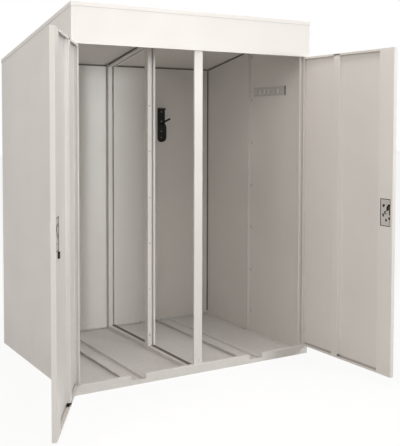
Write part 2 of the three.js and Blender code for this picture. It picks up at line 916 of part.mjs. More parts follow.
function pinion() {
  const pressure = THREE.MathUtils.degToRad(pressureDegrees);
  const base = pitchRadius * Math.cos(pressure);
  const tip = pitchRadius + module;
  const root = pitchRadius - module * toothDedendumShare;
  const halfAngle = ((Math.PI * module) / 2 - backlash) / 2 / pitchRadius;
  const flankSteps = 4;
  const flank = [[root, halfAngle + involute(pressure)]];
  for (let i = 0; i <= flankSteps; i += 1) {
    const radius = base + ((tip - base) * i) / flankSteps;
    const spread = involute(Math.acos(base / radius));
    flank.push([radius, halfAngle + involute(pressure) - spread]);
  }
  const points = [];
  for (let tooth = 0; tooth < pinionTeeth; tooth += 1) {
    const centre = (tooth * 2 * Math.PI) / pinionTeeth;
    const rise = flank.map(([radius, spread]) => [radius, centre - spread]);
    const fall = flank.map(([radius, spread]) => [radius, centre + spread]).reverse();
    for (const [radius, angle] of [...rise, ...fall]) {
      points.push([spindleU + radius * Math.cos(angle), spindleHeight + radius * Math.sin(angle)]);
    }
  }
  const wheel = prismY(points, gearBack, gearBack + gearThick);
  const half = spindleSide / 2 + seam;
  const y0 = gearBack - overrun;
  const y1 = gearBack + gearThick + overrun;
  const hole = block(spindleU - half, spindleU + half, y0, y1, spindleHeight - half, spindleHeight + half);
  return wheel.subtract(hole);
}

// Rod: a flat bar with a toothed rack beside the pinion. up is 1 for the upper rod, on the
// hinge side of the pinion, and -1 for the lower rod, on its other side.
function lockRod(up) {
  const pitch = Math.PI * module;
  const slope = Math.tan(THREE.MathUtils.degToRad(pressureDegrees));
  const halfTooth = pitch / 4 - backlash / 2;
  const tipDepth = module * toothAddendumShare;
  const rootDepth = module * toothDedendumShare;
  const end = up > 0 ? doorTop - rodRecess : doorBottom + rodRecess;
  const tail = spindleHeight - up * rackTail;
  const across = (distance) => spindleU - up * distance;
  const bar = [
    [across(rackRoot + rodWidth), tail],
    [across(rackRoot), tail],
    [across(rackRoot), end],
    [across(rackRoot + rodWidth), end],
  ];
  let rod = prismY(bar, gearBack, gearBack + gearThick);
  const travelTeeth = Math.ceil((pitchRadius * Math.PI) / 2 / pitch);
  const sunk = module / 2;
  for (let k = -travelTeeth - 1; k <= 0; k += 1) {
    const z = spindleHeight + up * (k + 1 / 2) * pitch;
    const halfRoot = halfTooth + (rootDepth + sunk) * slope;
    const halfTip = halfTooth - tipDepth * slope;
    const tooth = [
      [across(rackRoot + sunk), z - halfRoot],
      [across(rackRoot + sunk), z + halfRoot],
      [across(pitchRadius - tipDepth), z + halfTip],
      [across(pitchRadius - tipDepth), z - halfTip],
    ];
    rod = rod.add(prismY(tooth, gearBack, gearBack + gearThick));
  }
  return rod;
}

// Handle: a rounded grip and hub outside the door, on a square spindle through the pinion
function lockHandle() {
  const gripBack = outerFace - handleStandoff;
  const gripFront = gripBack - handleThick;
  const half = handleWidth / 2;
  const straight = handleLength / 2 - half;
  const shape = new THREE.Shape();
  shape.absarc(spindleU, spindleHeight + straight, half, 0, Math.PI, false);
  shape.absarc(spindleU, spindleHeight - straight, half, Math.PI, Math.PI * 2, false);
  const grip = solid(extruded(shape, handleThick).rotateX(Math.PI / 2).translate(0, gripBack, 0));
  const sunk = gripFront + handleThick / 2;
  const hub = barY(spindleU, spindleHeight, sunk, outerFace - seam, handleHub);
  const side = spindleSide / 2;
  const spindleEnd = gearBack + gearThick + spindleSide / 4;
  const spindle = block(
    spindleU - side,
    spindleU + side,
    sunk,
    spindleEnd,
    spindleHeight - side,
    spindleHeight + side,
  );
  return joined(grip, hub, spindle);
}

// Rosette: a ring on the door's outer face round the handle's hub
function rosette() {
  const back = outerFace - seam;
  const ring = barY(spindleU, spindleHeight, back - rosetteThick, back, rosetteRadius);
  const hole = barY(spindleU, spindleHeight, back - rosetteThick - overrun, back + overrun, handleHub + rodFit);
  return ring.subtract(hole);
}

// Stop: a small block on the lock stile under the window
function windowStop() {
  const top = spindleHeight - windowHeight / 2;
  const back = innerFace + seam;
  const half = stopWidth / 2;
  return block(windowCentre - half, windowCentre + half, back, back + stopDepth, top - stopHeight, top);
}

function door(side, mirror, openDegrees) {
  const pieces = [
    named(`${side}_door_pan`, doorPan(), shellPaint(), mirror),
    named(`${side}_door_stiffener`, doorStiffener(), shellPaint(), mirror),
    named(`${side}_lock_stile`, lockStile(), shellPaint(), mirror),
    named(`${side}_lock_case`, lockCase(), blackPaint(), mirror),
    named(`${side}_lock_cover`, lockCover(), dullMetal(), mirror),
    named(`${side}_handle_rosette`, rosette(), dullMetal(), mirror),
    named(`${side}_handle`, lockHandle(), dullMetal(), mirror),
    named(`${side}_pinion`, pinion(), zincSteel(), mirror),
    named(`${side}_upper_rod`, lockRod(1), zincSteel(), mirror),
    named(`${side}_lower_rod`, lockRod(-1), zincSteel(), mirror),
  ];
  const leaf = new THREE.Group();
  leaf.add(...pieces);
  leaf.position.set(mirror ? pivotX : -pivotX, pivotY, 0);
  leaf.rotation.z = THREE.MathUtils.degToRad(openDegrees);
  return leaf;
}

const leftDoor = door('left', false, -leftOpenDegrees);
leftDoor.add(named('left_window_stop', windowStop(), blackPaint()));
locker.add(leftDoor);
locker.add(door('right', true, rightOpenDegrees));

export default locker;
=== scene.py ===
import math

import bmesh
import bpy
from mathutils import Matrix, Vector


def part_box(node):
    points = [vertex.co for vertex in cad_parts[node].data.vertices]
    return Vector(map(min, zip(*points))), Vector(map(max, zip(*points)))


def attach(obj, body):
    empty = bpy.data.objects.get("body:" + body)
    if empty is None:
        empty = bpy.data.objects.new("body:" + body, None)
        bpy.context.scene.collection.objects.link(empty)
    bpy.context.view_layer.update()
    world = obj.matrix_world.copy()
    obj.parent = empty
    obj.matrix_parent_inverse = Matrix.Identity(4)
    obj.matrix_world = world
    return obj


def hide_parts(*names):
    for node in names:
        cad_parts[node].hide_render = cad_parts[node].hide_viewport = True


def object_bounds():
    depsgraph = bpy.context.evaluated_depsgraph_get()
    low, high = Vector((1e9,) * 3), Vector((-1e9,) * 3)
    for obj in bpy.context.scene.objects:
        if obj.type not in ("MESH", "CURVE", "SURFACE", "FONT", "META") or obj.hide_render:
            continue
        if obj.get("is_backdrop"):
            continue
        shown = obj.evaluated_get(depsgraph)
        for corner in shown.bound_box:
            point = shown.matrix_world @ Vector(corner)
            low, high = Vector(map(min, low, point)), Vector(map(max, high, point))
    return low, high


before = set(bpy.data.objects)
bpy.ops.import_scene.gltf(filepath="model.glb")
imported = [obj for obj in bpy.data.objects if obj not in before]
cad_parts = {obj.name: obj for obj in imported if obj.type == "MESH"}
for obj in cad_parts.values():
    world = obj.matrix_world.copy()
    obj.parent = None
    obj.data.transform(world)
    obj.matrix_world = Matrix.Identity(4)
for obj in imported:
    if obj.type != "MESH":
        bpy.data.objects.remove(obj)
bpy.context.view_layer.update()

# The camera. The locker was photographed from its front left, from two thirds of its height,
# with the lens shifted down so that the uprights stay nearly upright.
eye = Vector((-2.251, -4.2955, 1.381))
yaw = math.radians(31.12)
pitch = math.radians(-2.638)
roll = math.radians(0.1316)
focal_pixels = 788.7
frame_height = 446
lens_centre_row = 161.6
film_width = 36

looking = Vector((
    math.sin(yaw) * math.cos(pitch),
    math.cos(yaw) * math.cos(pitch),
    math.sin(pitch),
))
level_right = Vector((math.cos(yaw), -math.sin(yaw), 0))
level_up = level_right.cross(looking)
right = level_right * math.cos(roll) + level_up * math.sin(roll)
up = level_up * math.cos(roll) - level_right * math.sin(roll)

camera_data = bpy.data.cameras.new("camera")
camera_data.sensor_width = film_width
camera_data.lens = film_width * focal_pixels / frame_height
camera_data.shift_y = (lens_centre_row - frame_height / 2) / frame_height
camera = bpy.data.objects.new("camera", camera_data)
bpy.context.collection.objects.link(camera)
turn = Matrix((right, up, -looking)).transposed()
camera.matrix_world = Matrix.Translation(eye) @ turn.to_4x4()
bpy.context.scene.camera = camera
bpy.context.scene.view_settings.view_transform = "Standard"

# The studio floor and sky: white to the camera and in reflections. To the light that
# bounces from them they are plain, so the underside of the roof stays in shade.
floor_half = 30
floor_grey = (0.42, 0.41, 0.40, 1)
floor_lift = 0.86
sky_strength = 0.46
sky_warmth = (1, 0.97, 0.94, 1)
white = (1, 1, 1, 1)


def white_where_seen(tree, bounced, seen, surface):
    """Joins two shaders: one for light that bounces, the other for what is seen or mirrored."""
    path = tree.nodes.new("ShaderNodeLightPath")
    any_view = path.outputs["Is Camera Ray"]
    for ray in ("Is Glossy Ray", "Is Transmission Ray"):
        either = tree.nodes.new("ShaderNodeMath")
        either.operation = "MAXIMUM"
        tree.links.new(any_view, either.inputs[0])
        tree.links.new(path.outputs[ray], either.inputs[1])
        any_view = either.outputs[0]
    by_ray = tree.nodes.new("ShaderNodeMixShader")
    tree.links.new(any_view, by_ray.inputs["Fac"])
    tree.links.new(bounced.outputs[0], by_ray.inputs[1])
    tree.links.new(seen.outputs[0], by_ray.inputs[2])
    tree.links.new(by_ray.outputs[0], surface)


cloth = bmesh.new()
bmesh.ops.create_grid(cloth, x_segments=1, y_segments=1, size=floor_half)
floor_mesh = bpy.data.meshes.new("studio_floor")
cloth.to_mesh(floor_mesh)
cloth.free()
studio_floor = bpy.data.objects.new("studio_floor", floor_mesh)
bpy.context.collection.objects.link(studio_floor)
studio_floor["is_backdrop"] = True

floor_paint = bpy.data.materials.new("studio_floor")
floor_paint.use_nodes = True
tree = floor_paint.node_tree
tree.nodes.clear()
floor_out = tree.nodes.new("ShaderNodeOutputMaterial")
grey_cloth = tree.nodes.new("ShaderNodeBsdfDiffuse")
grey_cloth.inputs["Color"].default_value = floor_grey
white_cloth = tree.nodes.new("ShaderNodeBsdfDiffuse")
white_cloth.inputs["Color"].default_value = white
glow = tree.nodes.new("ShaderNodeEmission")
glow.inputs["Color"].default_value = white
lifted = tree.nodes.new("ShaderNodeMixShader")
lifted.inputs["Fac"].default_value = floor_lift
tree.links.new(white_cloth.outputs[0], lifted.inputs[1])
tree.links.new(glow.outputs[0], lifted.inputs[2])
white_where_seen(tree, grey_cloth, lifted, floor_out.inputs["Surface"])
floor_mesh.materials.append(floor_paint)

world = bpy.data.worlds.new("studio")
bpy.context.scene.world = world
world.use_nodes = True
tree = world.node_tree
tree.nodes.clear()
world_out = tree.nodes.new("ShaderNodeOutputWorld")
sky = tree.nodes.new("ShaderNodeBackground")
sky.inputs["Color"].default_value = sky_warmth
sky.inputs["Strength"].default_value = sky_strength
backdrop = tree.nodes.new("ShaderNodeBackground")
backdrop.inputs["Color"].default_value = white
white_where_seen(tree, sky, backdrop, world_out.inputs["Surface"])

# The lamps: soft boxes in front of the locker, each with its place, aim, size, spread in
# degrees, power and tint. The key stands far off in a narrow beam, to reach deep into the bays.
plain_light = (0.965, 0.985, 1)
warm_light = (1, 0.955, 0.915)
softboxes = [
    ("key_softbox", (3, -8.02, 1.95), (-0.3, 0.2, 2.05), 1.2, 1.2, 70, 38.5, plain_light),
    ("front_left_softbox", (-2.91, -5.26, 2.6), (0, -0.4, 1.1), 1, 1, 180, 16.8, warm_light),
    ("left_high_softbox", (-4.2, -2.47, 3), (0, -0.4, 1.1), 1, 1, 180, 35.5, warm_light),
    ("left_softbox", (-5.18, -1.05, 2), (0, -0.4, 1.1), 1, 1, 180, 20, warm_light),
    ("overhead_softbox", (0, -1, 5.5), (0, -0.3, 1), 4, 3, 180, 105, warm_light),
    ("overhead_front_softbox", (0, -3.5, 5), (0, -0.3, 1), 4, 2, 180, 31, warm_light),
]
for name, place, target, wide, high, spread, power, tint in softboxes:
    lamp = bpy.data.lights.new(name, "AREA")
    lamp.shape = "RECTANGLE"
    lamp.size = wide
    lamp.size_y = high
    lamp.spread = math.radians(spread)
    lamp.energy = power
    lamp.color = tint
    softbox = bpy.data.objects.new(name, lamp)
    softbox.location = place
    aim = Vector(target) - Vector(place)
    softbox.rotation_euler = aim.to_track_quat("-Z", "Y").to_euler()
    bpy.context.collection.objects.link(softbox)

# The roof caps, side and rear panels, header and sill: sheet steel 1.5 and 2 mm thick, cut,
# folded on a press brake with a small outer radius, and powder coated in a warm off-white.
mm = 0.001
fold_radius = 2.6 * mm
fold_steps = 3
cut_radius = 0.3 * mm
cut_face = 4 * mm
corner_angle = math.radians(25)
flat_angle = math.radians(0.5)
crisp_angle = math.radians(40)
vertex_gap = 0.01 * mm
coat_colour = (0.80, 0.775, 0.745)
coat_cloud = (0.765, 0.742, 0.712)
# Rubbed folds are lighter; the same lighter tone is a painted highlight on the coat rail's hooks.
rubbed_and_highlight_colour = (0.86, 0.84, 0.815)
ground_dust = (0.60, 0.57, 0.535)
# Painted shade: a darker band on the doors' inner faces just above the bottom lip, reaching this
# far above and below its line.
lip_shade_colour = (0.42, 0.40, 0.375)
dust_height = 0.2
lip_shade_above, lip_shade_below = 8 * mm, 2 * mm
refraction = 1.46
middle_spread = (0.3, 0.7)
cloud_grain = (2.6, 4)
dust_grain, thinnest_dust = (31, 6), 0.2
scuff_grain = (44, 5)
gloss_grain = (7, 5)
peel_grain, peel_strength, peel_depth = (620, 2), 0.14, 0.2 * mm


def new_finish(name):
    """A new material, its node tree and its shader."""
    finish = bpy.data.materials.new(name)
    finish.use_nodes = True
    return finish, finish.node_tree, finish.node_tree.nodes["Principled BSDF"]


def stretched(tree, value, seen, wanted):
    """A value with one range stretched to another and held at its ends."""
    span = tree.nodes.new("ShaderNodeMapRange")
    ends = ("From Min", "From Max", "To Min", "To Max")
    for end, number in zip(ends, (*seen, *wanted)):
        span.inputs[end].default_value = number
    tree.links.new(value, span.inputs["Value"])
    return span.outputs["Result"]


def noise(tree, grain, low=0, high=1, seen=(0, 1)):
    """A noise of a scale and detail on the piece's own coordinates, from low to high."""
    where = tree.nodes.new("ShaderNodeTexCoord")
    speckle = tree.nodes.new("ShaderNodeTexNoise")
    scale, detail = grain
    speckle.inputs["Scale"].default_value = scale
    speckle.inputs["Detail"].default_value = detail
    tree.links.new(where.outputs["Object"], speckle.inputs["Vector"])
    return stretched(tree, speckle.outputs["Fac"], seen, (low, high))


def mixed(tree, under, over, share):
    """One colour laid over another by a share."""
    blend = tree.nodes.new("ShaderNodeMix")
    blend.data_type = "RGBA"
    if isinstance(under, tuple):
        blend.inputs["A"].default_value = (*under, 1)
    else:
        tree.links.new(under, blend.inputs["A"])
    blend.inputs["B"].default_value = (*over, 1)
    tree.links.new(share, blend.inputs["Factor"])
    return blend.outputs["Result"]


def times(tree, first, second):
    """The product of two shares."""
    product = tree.nodes.new("ShaderNodeMath")
    product.operation = "MULTIPLY"
    tree.links.new(first, product.inputs[0])
    tree.links.new(second, product.inputs[1])
    return product.outputs[0]


def marked(tree, mark):
    """How far a face carries a mark, from 0 to 1."""
    attribute = tree.nodes.new("ShaderNodeAttribute")
    attribute.attribute_name = mark
    return attribute.outputs["Fac"]


def roughened(tree, shader, relief, strength, depth):
    """Gives a shader a fine relief."""
    skin = tree.nodes.new("ShaderNodeBump")
    skin.inputs["Strength"].default_value = strength
    skin.inputs["Distance"].default_value = depth
    tree.links.new(relief, skin.inputs["Height"])
    tree.links.new(skin.outputs["Normal"], shader.inputs["Normal"])


def powder_coat(name, colour, cloud, dust=0.3, rub_and_highlight_amount=0.8, dull=0.5, bright=0.38, lip_shade_line=0):
    """Powder coat: clouded colour, orange-peel skin, dust low down, a lighter tone on faces marked
    fold (rubbed wear on folds, a painted highlight on other marked faces) and a painted shade band
    above a line.
    """
    coat, tree, paint = new_finish(name)
    paint.inputs["IOR"].default_value = refraction
    where = tree.nodes.new("ShaderNodeTexCoord")
    place = tree.nodes.new("ShaderNodeSeparateXYZ")
    tree.links.new(where.outputs["Object"], place.inputs[0])
    height = place.outputs["Z"]

    colour = mixed(tree, colour, cloud, noise(tree, cloud_grain, 0, 1, middle_spread))
    low_down = stretched(tree, height, (dust_height, 0), (0, dust))
    patches = noise(tree, dust_grain, thinnest_dust, 1, middle_spread)
    colour = mixed(tree, colour, ground_dust, times(tree, low_down, patches))
    # Painted shade: a darker band on the faces marked groove, just above the given line.
    if lip_shade_line:
        lip_shade_ends = (lip_shade_line + lip_shade_above, lip_shade_line - lip_shade_below)
        lip_shade_share = stretched(tree, height, lip_shade_ends, (0, 1))
        colour = mixed(tree, colour, lip_shade_colour, times(tree, marked(tree, "groove"), lip_shade_share))
    # Lighter on faces marked fold: rubbed wear on the folds, and a painted highlight on the coat
    # rail's hooks.
    wear_and_highlight = times(tree, marked(tree, "fold"), noise(tree, scuff_grain, 0, rub_and_highlight_amount, middle_spread))
    tree.links.new(mixed(tree, colour, rubbed_and_highlight_colour, wear_and_highlight), paint.inputs["Base Color"])

    gloss = noise(tree, gloss_grain, bright, dull, middle_spread)
    tree.links.new(gloss, paint.inputs["Roughness"])
    peel = noise(tree, peel_grain, 0, 1, middle_spread)
    roughened(tree, paint, peel, peel_strength, peel_depth)
    return coat


def face_width(face):
    """How wide a face is across its longest edge, to tell a panel from a cut edge."""
    return face.calc_area() / max(edge.calc_length() for edge in face.edges)


def merged_copy(node):
    """The CAD node's own solid as a bmesh, with its loose triangles joined into flat faces."""
    shape = bmesh.new()
    shape.from_mesh(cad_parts[node].data)
    bmesh.ops.remove_doubles(shape, verts=shape.verts, dist=vertex_gap)
    bmesh.ops.dissolve_limit(shape, angle_limit=flat_angle, verts=shape.verts, edges=shape.edges)
    return shape


def rounded(shape, edges, radius, steps, mark):
    """Rounds those edges of a shape that are still there and marks the new faces."""
    edges = [edge for edge in edges if edge.is_valid]
    if edges:
        made = bmesh.ops.bevel(
            shape, geom=edges, offset=radius, offset_type="OFFSET", affect="EDGES",
            segments=steps, profile=0.5, material=-1, clamp_overlap=True,
        )
        for face in made["faces"]:
            face[mark] = 1


def folded_sheet(node, outer=fold_radius, cut=cut_radius):
    """The node's sheet with its outer folds rounded and its cut edges broken."""
    shape = merged_copy(node)
    mark = shape.faces.layers.float.new("fold")
    folds, cuts = [], []
    for edge in shape.edges:
        if len(edge.link_faces) == 2 and edge.calc_face_angle_signed() > corner_angle:
            narrowest = min(face_width(face) for face in edge.link_faces)
            if narrowest > cut_face:
                folds.append(edge)
            else:
                cuts.append(edge)
    rounded(shape, folds, outer, fold_steps, mark)
    rounded(shape, cuts, cut, 1, mark)
    return shape


def finished(name, shape, coat, body, slot_name, *stands_for):
    """Puts a finished shape in the scene, smooth with crisp folds, on its body."""
    mesh = bpy.data.meshes.new(name)
    shape.to_mesh(mesh)
    shape.free()
    mesh.materials.append(coat)
    piece = bpy.data.objects.new(name, mesh)
    bpy.context.collection.objects.link(piece)
    mesh.shade_smooth()
    mesh.set_sharp_from_angle(angle=crisp_angle)
    flats = piece.modifiers.new("flat_faces", "WEIGHTED_NORMAL")
    flats.keep_sharp = True
    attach(piece, body)
    if stands_for:
        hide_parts(*stands_for)
    return piece


shell_coat = powder_coat("shell_coat", coat_colour, coat_cloud)
shell_nodes = ["roof_cap_left", "roof_cap_right", "header", "sill"]
for side in ("left", "right"):
    shell_nodes += [f"{side}_side_front_panel", f"{side}_side_rear_panel", f"rear_panel_{side}"]
for node in shell_nodes:
    finished(f"{node}_sheet", folded_sheet(node), shell_coat, "cabinet", "shell_paint", node)

# The hinge jambs and the centre post: posts folded from 1.5 mm sheet, bolted behind the
# header and the sill, in the same powder coat.
for node in ("left_hinge_jamb", "right_hinge_jamb", "centre_post"):
    finished(f"{node}_sheet", folded_sheet(node), shell_coat, "cabinet", "shell_paint", node)

# The floor tray and the two wheel channels: folded sheet laid on the ground. The coat on
# them is a little greyer and duller, and more rubbed at the folds, where tyres catch.
floor_colour = (0.80, 0.785, 0.765)
floor_cloud = (0.75, 0.735, 0.715)
floor_coat = powder_coat(
    "floor_coat", floor_colour, floor_cloud, dust=0.35, rub_and_highlight_amount=1, dull=0.62, bright=0.46
)
for node in ("floor_tray", "wheel_channel_left", "wheel_channel_right"):
    finished(f"{node}_sheet", folded_sheet(node), floor_coat, "cabinet", "inner_paint", node)

# The divider: two open frames of folded members, each a bolting leg, a groove and a lip. The
# front frame ends at the centre post. The coat is that of the cabinet, a little duller.
divider_fold = 1.2 * mm
inner_coat = powder_coat("inner_coat", coat_colour, coat_cloud, dull=0.56, bright=0.44)
divider_nodes = ["divider_rear_near_stile"]
for bay in ("front", "rear"):
    for member in ("far_stile", "floor_rail", "roof_rail"):
        divider_nodes.append(f"divider_{bay}_{member}")
for node in divider_nodes:
    member = folded_sheet(node, divider_fold)
    finished(f"{node}_sheet", member, inner_coat, "cabinet", "inner_paint", node)

# The fixings: zinc-plated flanged bolts with a domed head. They hold the side panels' seams,
# the divider's legs, the foot flanges and the floor's upstand. The centre post has low screws,
# which the closed doors clear.
bolt_profile = [
    (0, 1.9), (1.7, 1.9), (2.1, 3.9), (3.4, 3.8), (4.6, 3.1), (5.1, 2.1),
    (5.3, 1.3), (6.8, 1.1), (7.1, 0.7), (7.1, 0), (0, 0),
]
low_screw_profile = [(0, 0.3), (1.6, 0.3), (1.9, 0.9), (4.2, 0.85), (5.3, 0.4), (5.4, 0), (0, 0)]
turned_steps = 18
doubles_gap = 0.005 * mm
wall_thick = 1.5 * mm
bolt_inset = 13.5 * mm
seam_bolt_heights = (1834, 1548, 1267, 984, 705, 418, 138)
leg_bolt_heights = (1499, 1222, 938, 657, 377, 91)
post_screw_places = ((3, 1777), (18, 1777), (3, 64))
foot_bolt_side, foot_top = 741, 3.8 * mm
foot_bolt_depths = (354, 77, 7, -245)
upstand_bolts, upstand_bolt_height = (205, 369), 14 * mm
upstand_stand = 0.3 * mm
zinc_colour = (0.66, 0.645, 0.625)
mottle_grain, mottle_shade = (60, 5), 0.78
metal_detail, metal_relief, metal_depth = 3, 0.2, 0.1 * mm


def bare_metal(name, colour, dull, bright, grain, metallic):
    """Plated or cast metal: a mottled colour, fine grain and uneven gloss."""
    metal, tree, plate = new_finish(name)
    plate.inputs["Metallic"].default_value = metallic
    shaded = tuple(part * mottle_shade for part in colour)
    tone = mixed(tree, colour, shaded, noise(tree, mottle_grain))
    tree.links.new(tone, plate.inputs["Base Color"])
    tree.links.new(noise(tree, mottle_grain, bright, dull), plate.inputs["Roughness"])
    roughened(tree, plate, noise(tree, (grain, metal_detail)), metal_relief, metal_depth)
    return metal


def turned(shape, profile, place, axis):
    """Adds a turned shape: points of radius and height in millimetres, spun round an axis."""
    stand = Vector((0, 0, 1)).rotation_difference(Vector(axis)).to_matrix().to_4x4()
    put = Matrix.Translation(Vector(place)) @ stand
    line = []
    for radius, height in profile:
        line.append(shape.verts.new(put @ Vector((radius * mm, 0, height * mm))))
    joints = [shape.edges.new(pair) for pair in zip(line, line[1:])]
    bmesh.ops.spin(
        shape, geom=line + joints, cent=place, axis=axis, dvec=(0, 0, 0),
        angle=math.tau, steps=turned_steps, use_merge=True,
    )


def closed(shape):
    """Merges a shape's doubles and turns its faces outwards."""
    bmesh.ops.remove_doubles(shape, verts=shape.verts, dist=doubles_gap)
    bmesh.ops.recalc_face_normals(shape, faces=shape.faces)
    return shape


def fixings(name, profile, places):
    """A group of like fixings, each with a place in metres and the way its head points."""
    shape = bmesh.new()
    for place, axis in places:
        turned(shape, profile, place, axis)
    finished(name, closed(shape), zinc_plate, "cabinet", "zinc_steel")


zinc_plate = bare_metal("zinc_plate", zinc_colour, dull=0.55, bright=0.38, grain=900, metallic=0.8)

seam_low, seam_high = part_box("left_side_front_panel")
side_inside = seam_low.x + wall_thick
seam_y = seam_high.y - bolt_inset
places = []
for height in seam_bolt_heights:
    for way in (1, -1):
        places.append(((way * side_inside, seam_y, height * mm), (way, 0, 0)))
fixings("side_seam_bolts", bolt_profile, places)

leg_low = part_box("divider_front_far_stile")[0]
leg_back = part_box("divider_rear_near_stile")[1].y
places = []
for height in leg_bolt_heights:
    for leg_face, way in ((leg_low.y, -1), (leg_back, 1)):
        places.append(((leg_low.x + bolt_inset, leg_face, height * mm), (0, way, 0)))
fixings("divider_joint_bolts", bolt_profile, places)

post_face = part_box("centre_post")[0].y
places = [((x * mm, post_face, z * mm), (0, -1, 0)) for x, z in post_screw_places]
fixings("post_screws", low_screw_profile, places)

places = []
for depth in foot_bolt_depths:
    for way in (1, -1):
        places.append(((way * foot_bolt_side * mm, depth * mm, foot_top), (0, 0, 1)))
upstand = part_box("wheel_channel_left")[1].y + upstand_stand
for x in upstand_bolts:
    places.append(((x * mm, upstand, upstand_bolt_height), (0, -1, 0)))
fixings("floor_bolts", bolt_profile, places)

# The wheel hooks: a steel wall plate with a lug, an arm for the rim and a loop for a lock,
# all in black plastic coating, held to the rear wall by four plated screws.
hook_screw_heights = (1473, 1406, 1338, 1294)
hook_screw_profile = [
    (0, 0.9), (1.1, 0.9), (1.4, 2.4), (2.6, 2.2), (3.6, 1.4), (4.1, 0.4), (4.1, 0), (0, 0),
]
hook_plate = 4 * mm
hook_fold, hook_cut = 1.2 * mm, 0.8 * mm
hook_black = (0.013, 0.013, 0.0125)
black_shine = 0.32
bloom_grain, bloom_tone = (34, 5), 1.7
pebble_grain, pebble_depth = (850, 2), 0.3 * mm


def black_coating(name, colour, dull, bright, pebbles):
    """Black coating: near black with a faint bloom, and a soft dipped or moulded skin."""
    coating, tree, skin = new_finish(name)
    skin.inputs["Specular IOR Level"].default_value = black_shine
    bloomed = tuple(part * bloom_tone for part in colour)
    tone = mixed(tree, colour, bloomed, noise(tree, bloom_grain))
    tree.links.new(tone, skin.inputs["Base Color"])
    tree.links.new(noise(tree, bloom_grain, bright, dull), skin.inputs["Roughness"])
    roughened(tree, skin, noise(tree, pebble_grain), pebbles, pebble_depth)
    return coating


hook_coating = black_coating("hook_coating", hook_black, dull=0.62, bright=0.42, pebbles=0.35)
for side in ("left", "right"):
    node = f"{side}_wheel_hook"
    hook = folded_sheet(node, hook_fold, hook_cut)
    finished(f"{node}_coated", hook, hook_coating, "cabinet", "black_parts", node)
    low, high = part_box(node)
    middle, plate_face = (low.x + high.x) / 2, high.y - hook_plate
    places = [((middle, plate_face, height * mm), (0, -1, 0)) for height in hook_screw_heights]
    fixings(f"{node}_screws", hook_screw_profile, places)

# The strips of painted shade, in dark rubber: a half-round strip along the top of each wall
# and of the divider's roof rails, under the roof, for the shade in the gap there; a flat one
# down the right rear corner, for the shade in the corner; and a T-section pressed into the
# groove of each floor rail, for the shade in the groove.
roof_shade_profile = [(0, 0), (0, -11), (1.6, -10.4), (2.8, -8.3), (3.2, -5.5), (2.8, -2.7), (1.6, -0.6)]
corner_profile = [(0, 0), (3, 0), (3.2, -1), (2.6, -8), (1.4, -11.4), (0, -12)]
groove_profile = [
    (0.3, 0), (0.3, 18.4), (-6, 18.4), (-6.2, 19.2), (-5.4, 20), (17.4, 20),
    (18.2, 19.2), (18, 18.4), (11.7, 18.4), (11.7, 0),
]
roof_front, roof_fall, roof_run = 2000, 213, 1155
flange_under, rail_under = 3.9, 2.5
wall_shade_gap, rail_gap = 4 * mm, 1 * mm
left_shade_inset = 40 * mm
corner_shade_gap, corner_shade_drop = 0.2 * mm, 12 * mm
groove_across, groove_deep = 27 * mm, 18.2 * mm
# Painted shade: the grey of the dark strips that stand for shadow gaps.
painted_shade_grey = (0.13, 0.12, 0.11)
forwards = Vector((0, -1, 0))


def strip(shape, profile, start, end, inward):
    """Adds a straight strip: its outline is drawn inwards and, where it lies flat, upwards."""
    upward = (end - start).normalized().cross(inward)
    if upward.z < 0:
        upward.negate()
    corners = []
    for deep, high in profile:
        corners.append(shape.verts.new(start + inward * (deep * mm) + upward * (high * mm)))
    made = bmesh.ops.extrude_face_region(shape, geom=[shape.faces.new(corners)])
    moved = [part for part in made["geom"] if isinstance(part, bmesh.types.BMVert)]
    bmesh.ops.translate(shape, verts=moved, vec=end - start)


def under_roof(x, y, drop):
    """A place that many millimetres below the top of the roof's slope."""
    height = (roof_front - drop) * mm - roof_fall / roof_run * (y + roof_run / 2 * mm)
    return Vector((x, y, height))


painted_shade_rubber = black_coating("painted_shade_rubber", painted_shade_grey, dull=0.85, bright=0.7, pebbles=0.5)
rear_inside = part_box("rear_panel_left")[1].y - wall_thick
shade_strips = bmesh.new()
for way in (1, -1):
    front = under_roof(way * side_inside, seam_low.y + wall_shade_gap, flange_under)
    back = under_roof(way * side_inside, rear_inside - wall_shade_gap, flange_under)
    strip(shade_strips, roof_shade_profile, front, back, Vector((way, 0, 0)))
for bay in ("front", "rear"):
    low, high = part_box(f"divider_{bay}_roof_rail")
    front = under_roof(low.x, low.y + rail_gap, rail_under)
    back = under_roof(low.x, high.y - rail_gap, rail_under)
    strip(shade_strips, roof_shade_profile, front, back, Vector((-1, 0, 0)))
stile_low, stile_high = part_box("divider_rear_far_stile")
for left_end, right_end in (
    (side_inside + left_shade_inset, stile_low.x - rail_gap),
    (stile_high.x + rail_gap, -side_inside - wall_shade_gap),
):
    near = under_roof(left_end, rear_inside, flange_under)
    far = under_roof(right_end, rear_inside, flange_under)
    strip(shade_strips, roof_shade_profile, near, far, forwards)
top = under_roof(-side_inside - corner_shade_gap, rear_inside, flange_under)
top.z -= corner_shade_drop
foot = Vector((top.x, top.y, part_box("floor_tray")[1].z + wall_shade_gap))
strip(shade_strips, corner_profile, foot, top, forwards)
finished("roof_shade_strips", closed(shade_strips), painted_shade_rubber, "cabinet", "black_parts")

# Painted shade: a black strip filling the top of each floor rail's groove, dark as the groove's
# shade.
strips = bmesh.new()
for bay in ("front", "rear"):
    low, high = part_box(f"divider_{bay}_floor_rail")
    front = Vector((low.x + groove_across, low.y + rail_gap, high.z - groove_deep))
    back = Vector((front.x, high.y - rail_gap, front.z))
    strip(strips, groove_profile, front, back, Vector((1, 0, 0)))
finished("floor_rail_strips", closed(strips), painted_shade_rubber, "cabinet", "black_parts")
